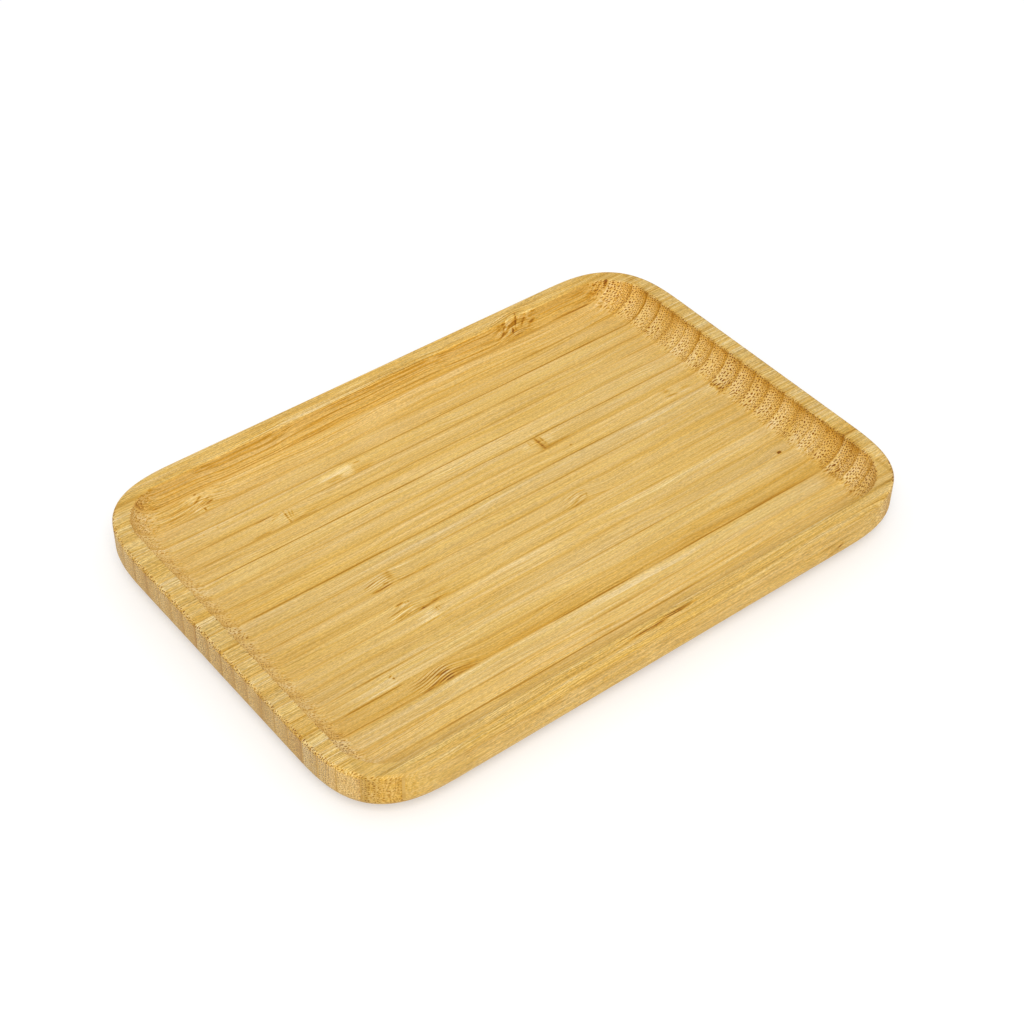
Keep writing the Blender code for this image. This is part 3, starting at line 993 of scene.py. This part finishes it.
make_strip("strip_14", honey_bamboo, knuckle(
    71.5, (2.5, 39, 3.5, -5, 50, 28), (8, 50, 3.2, -3, 40, 30), (1.3, 100, 2.4, 2, 50, 25),
    (1.9, 80, 2, 10, 25, 50), (1.2, 25, 3, 0, -50, 35), (7, 30, 5, 0, -35, 40), (5.5, 70, 4, 0, -30, 50),
    (-37.6, 55, 0.3, 0, 50, 30), climb=0.5, fan=0.15, patch=0.2, patch_reach=4 * MM, glow=0.2,
), tone=-0.04, shade=0.01, skin=0.12, drift=-0.12)
make_strip("strip_16", honey_bamboo, tone=-0.18, shade=-0.005, skin=0.24)
make_strip("strip_17", honey_bamboo, tone=-0.06, skin=0.1, skin_behind=True)
make_strip(
    "strip_19", honey_bamboo,
    knuckle(
        -24.6, (-2.2, 30, 4.6, 3, -60, 28), (2.5, 68, 2.2, -6, 55, 28), (2.5, 16, 8, 0, 18, 90),
        (-7, 60, 8, 0, -30, 100), (-7, 18, 5, -3, 30, 20), (-6.5, 35, 5, -3, 25, 20), climb=0.5, fan=0.1,
        patch=1.0, glow=0.2,
    ),
    marks(
        -75, (0, 75, 0.3, 0, 50, 30), (4.8, 80, 0.3, 0, 40, 30),
    ),
    tone=-0.15, shade=0.01, drift=0.06,
)
make_strip("strip_21", honey_bamboo, knuckle(
    -67.5, (-1.7, 73, 3, 22, 50, 26), (1.2, 42, 2.6, 12, 60), (-1.2, 14, 1.3, 88, 85),
    (-1.4, 102, 1.2, 50, 70, 30), (0, 58, 4.5, 10, 30, 20), (-0.5, 48, 4, 12, 30, 20),
    (0, 53, 4, 12, -50, 20), (-0.3, 64, 4, 16, -50), (-3, 30, 3, 20, -30, 30), (-8, 62, 9, 2, 35, 30),
    (-9, 35, 8, -2, 30, 30), climb=1.2, fan_reach=6 * MM, patch=0.2,
), tone=-0.09, skin=0.1, drift=0.12, flames=1.6)


# The amber strips
# Three strips hold the dense, resin-dark wood from just under the culm's skin, so their streaks run from
# honey to orange.

amber_bamboo = bamboo("amber_bamboo", 0.14)

make_strip("strip_06", amber_bamboo, knuckle(
    -51, (-3.7, 15, 8, 4, 70, 30), (-1.8, 50, 4.5, 4, 60, 25), (-1.3, 2, 2.4, 2, 70, 28),
    (-8.5, 2, 3, 0, 50, 25), (4.5, 27, 8, -5, 35, 40), (-7.6, 62, 7, 10, 30), climb=2, before=6.5 * MM,
    behind=7 * MM, fan=0.9, fan_reach=12 * MM, heel=0.15, heel_share=0.2, patch=0, glow=0.42,
    glow_reach=60 * MM,
), tone=0.02, shade=-0.02, flames=0.9)
make_strip(
    "strip_22", amber_bamboo,
    knuckle(
        52, (-4.5, 42, 3, 35, 45), (-1.5, 30, 0.9, 40, 100, 30), (0.5, 55, 3.2, 60, 60),
        (3, 40, 2.6, 25, 45), (6, 30, 3, 12, 35), (-2, 70, 3.6, 20, 35), (2, 75, 3, -10, 30),
        (-6, 25, 4, 10, 35), (1, 42, 3, 30, -50), (-3, 55, 3, 25, -50), (5, 50, 4, 5, -40), climb=1.0,
        fan=0.6, fan_reach=9 * MM, heel=0.15, heel_share=0.4, glow=0,
    ),
    marks(
        80, (-6, 4, 16, 0, 40, 30), (0, 20, 12, 0, 25, 25), (7.7, 7, 1.0, 0, 140, 38),
    ),
    tone=-0.07, shade=0.012, flames=1.85,
)
make_strip("back_edge_strip", amber_bamboo, tone=0.06, skin=0.1)


# The glue lines
# A film of clear resin glue fills each joint between two strips. It has set hard and amber, darker where
# more glue was left, and was sanded a touch lower than the bamboo.

GLUE_SET_BACK = 0.005 * MM
GLUE_PALE = (0.770, 0.495, 0.130, 1)
GLUE_DARK = (0.420, 0.190, 0.006, 1)
GLUE_NOISE = (45, 900, 900)
GLUE_CONTRAST = 1.1
GLUE_ROUGHNESS = 0.4
GLUE_ROUGHNESS_SPREAD = 0.2
GLUE_RELIEF = 0.03 * MM
GLUE_STRENGTH = 1.25
RIGHT_END_STRENGTH = 0.45
LEFT_END_STRENGTH = 0.2


def glue():
    """Hard amber glue, paler and darker along the joint by its own value and by slow noise."""
    material = bpy.data.materials.new("glue_film")
    material.use_nodes = True
    tree = material.node_tree
    shader = tree.nodes["Principled BSDF"]
    place = add_node(tree, "TexCoord", {}).outputs["Object"]
    drawn = add_node(tree, "VectorMath", {0: place, 1: GLUE_NOISE}, operation="MULTIPLY").outputs[0]
    slow = add_node(tree, "TexNoise", {"Vector": drawn, "Scale": 1.0, "Detail": 4.0}).outputs["Fac"]
    share = reckon(tree, "MULTIPLY_ADD", slow, GLUE_CONTRAST, -GLUE_CONTRAST / 2)
    share = reckon(tree, "ADD", share, read(tree, "strength", "Fac"), clamp=True)
    tree.links.new(tint(tree, share, GLUE_PALE, GLUE_DARK), shader.inputs["Base Color"])
    rough = reckon(tree, "MULTIPLY_ADD", slow, GLUE_ROUGHNESS_SPREAD, GLUE_ROUGHNESS)
    tree.links.new(rough, shader.inputs["Roughness"])
    shader.inputs["Specular IOR Level"].default_value = SPECULAR
    bump = add_node(tree, "Bump", {"Height": slow, "Distance": GLUE_RELIEF})
    tree.links.new(bump.outputs[0], shader.inputs["Normal"])
    material.diffuse_color = GLUE_PALE
    return material


glue_film = glue()

for joint, (before, after) in enumerate(zip(STRIP_NAMES, STRIP_NAMES[1:]), start=1):
    front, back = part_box(before)[1].y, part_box(after)[0].y
    across = np.array([front, (front + back) / 2, back])
    places, normals = closed_band(across, np.full(3, tray_height), spread_columns([]))
    places = places - GLUE_SET_BACK * normals
    at_end = np.where(places[:, :, 0] > 0, RIGHT_END_STRENGTH, LEFT_END_STRENGTH) * np.abs(normals[:, :, 0])
    values = {"strength": GLUE_STRENGTH * joint_strength(joint, places) + at_end}
    film = shaped_piece(f"glue_line_{joint:02d}", places, band_faces(*places.shape[:2]), values)
    film.data.materials.append(glue_film)
    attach(film, "root")


# The floor
# A plain pale floor carries the tray's soft shadow and runs on past the picture on every side.

FLOOR_REACH = 3.0
FLOOR_SHADE = 0.74
FLOOR_WHITENED = 0.31

floor_mesh = bpy.data.meshes.new("floor")
corners = [(x * FLOOR_REACH, y * FLOOR_REACH, 0) for x, y in ((-1, -1), (1, -1), (1, 1), (-1, 1))]
floor_mesh.from_pydata(corners, [], [(0, 1, 2, 3)])
floor = add_object("floor", floor_mesh)
paper = bpy.data.materials.new("pale_paper")
paper.use_nodes = True
tree = paper.node_tree
tree.nodes.clear()
path = add_node(tree, "LightPath", {}).outputs
seen = reckon(tree, "MAXIMUM", path["Is Camera Ray"], path["Is Glossy Ray"])
seen = reckon(tree, "MAXIMUM", seen, path["Is Transmission Ray"])
matt = add_node(tree, "BsdfDiffuse", {"Color": (FLOOR_SHADE, FLOOR_SHADE, FLOOR_SHADE, 1)})
glow = add_node(tree, "Emission", {"Strength": reckon(tree, "MULTIPLY", seen, FLOOR_WHITENED)})
both = add_node(tree, "AddShader", {0: matt.outputs[0], 1: glow.outputs[0]})
add_node(tree, "OutputMaterial", {"Surface": both.outputs[0]})
floor_mesh.materials.append(paper)


# The light
# Soft daylight from all round, and one broad lamp above and a little in front of the tray.

SKY_STRENGTH = 0.72
LAMP_PLACE = (-0.55, -0.75, 1.25)
LAMP_SIDE = 0.9
LAMP_WATTS = 11.0

world = bpy.data.worlds.new("soft_daylight")
world.use_nodes = True
tree = world.node_tree
tree.nodes.clear()
path = add_node(tree, "LightPath", {}).outputs
seen = reckon(tree, "MAXIMUM", path["Is Camera Ray"], path["Is Transmission Ray"])
level = stretch(tree, seen, 0.0, 1.0, SKY_STRENGTH, 1.0)
sky = add_node(tree, "Background", {"Color": (1, 1, 1, 1), "Strength": level})
add_node(tree, "OutputWorld", {"Surface": sky.outputs[0]})
bpy.context.scene.world = world

lamp = bpy.data.lights.new("broad_lamp", "AREA")
lamp.shape = "SQUARE"
lamp.size = LAMP_SIDE
lamp.energy = LAMP_WATTS
lamp_object = add_object("broad_lamp", lamp)
lamp_object.location = LAMP_PLACE
lamp_object.rotation_euler = (-Vector(LAMP_PLACE)).to_track_quat("-Z", "Y").to_euler()


# The camera
# It looks down over the tray's front left corner, as the photograph does.

CAMERA_PLACE = (-0.27656, -0.34177, 0.41470)
CAMERA_TURN_DEGREES = (47.203, -0.883, -38.283)
CAMERA_LENS = 72.617

camera_data = bpy.data.cameras.new("camera")
camera_data.lens = CAMERA_LENS
camera_data.sensor_width = 36
camera = add_object("camera", camera_data)
camera.location = CAMERA_PLACE
camera.rotation_euler = Euler([math.radians(turn) for turn in CAMERA_TURN_DEGREES])
bpy.context.scene.camera = camera
bpy.context.scene.view_settings.view_transform = "Standard"
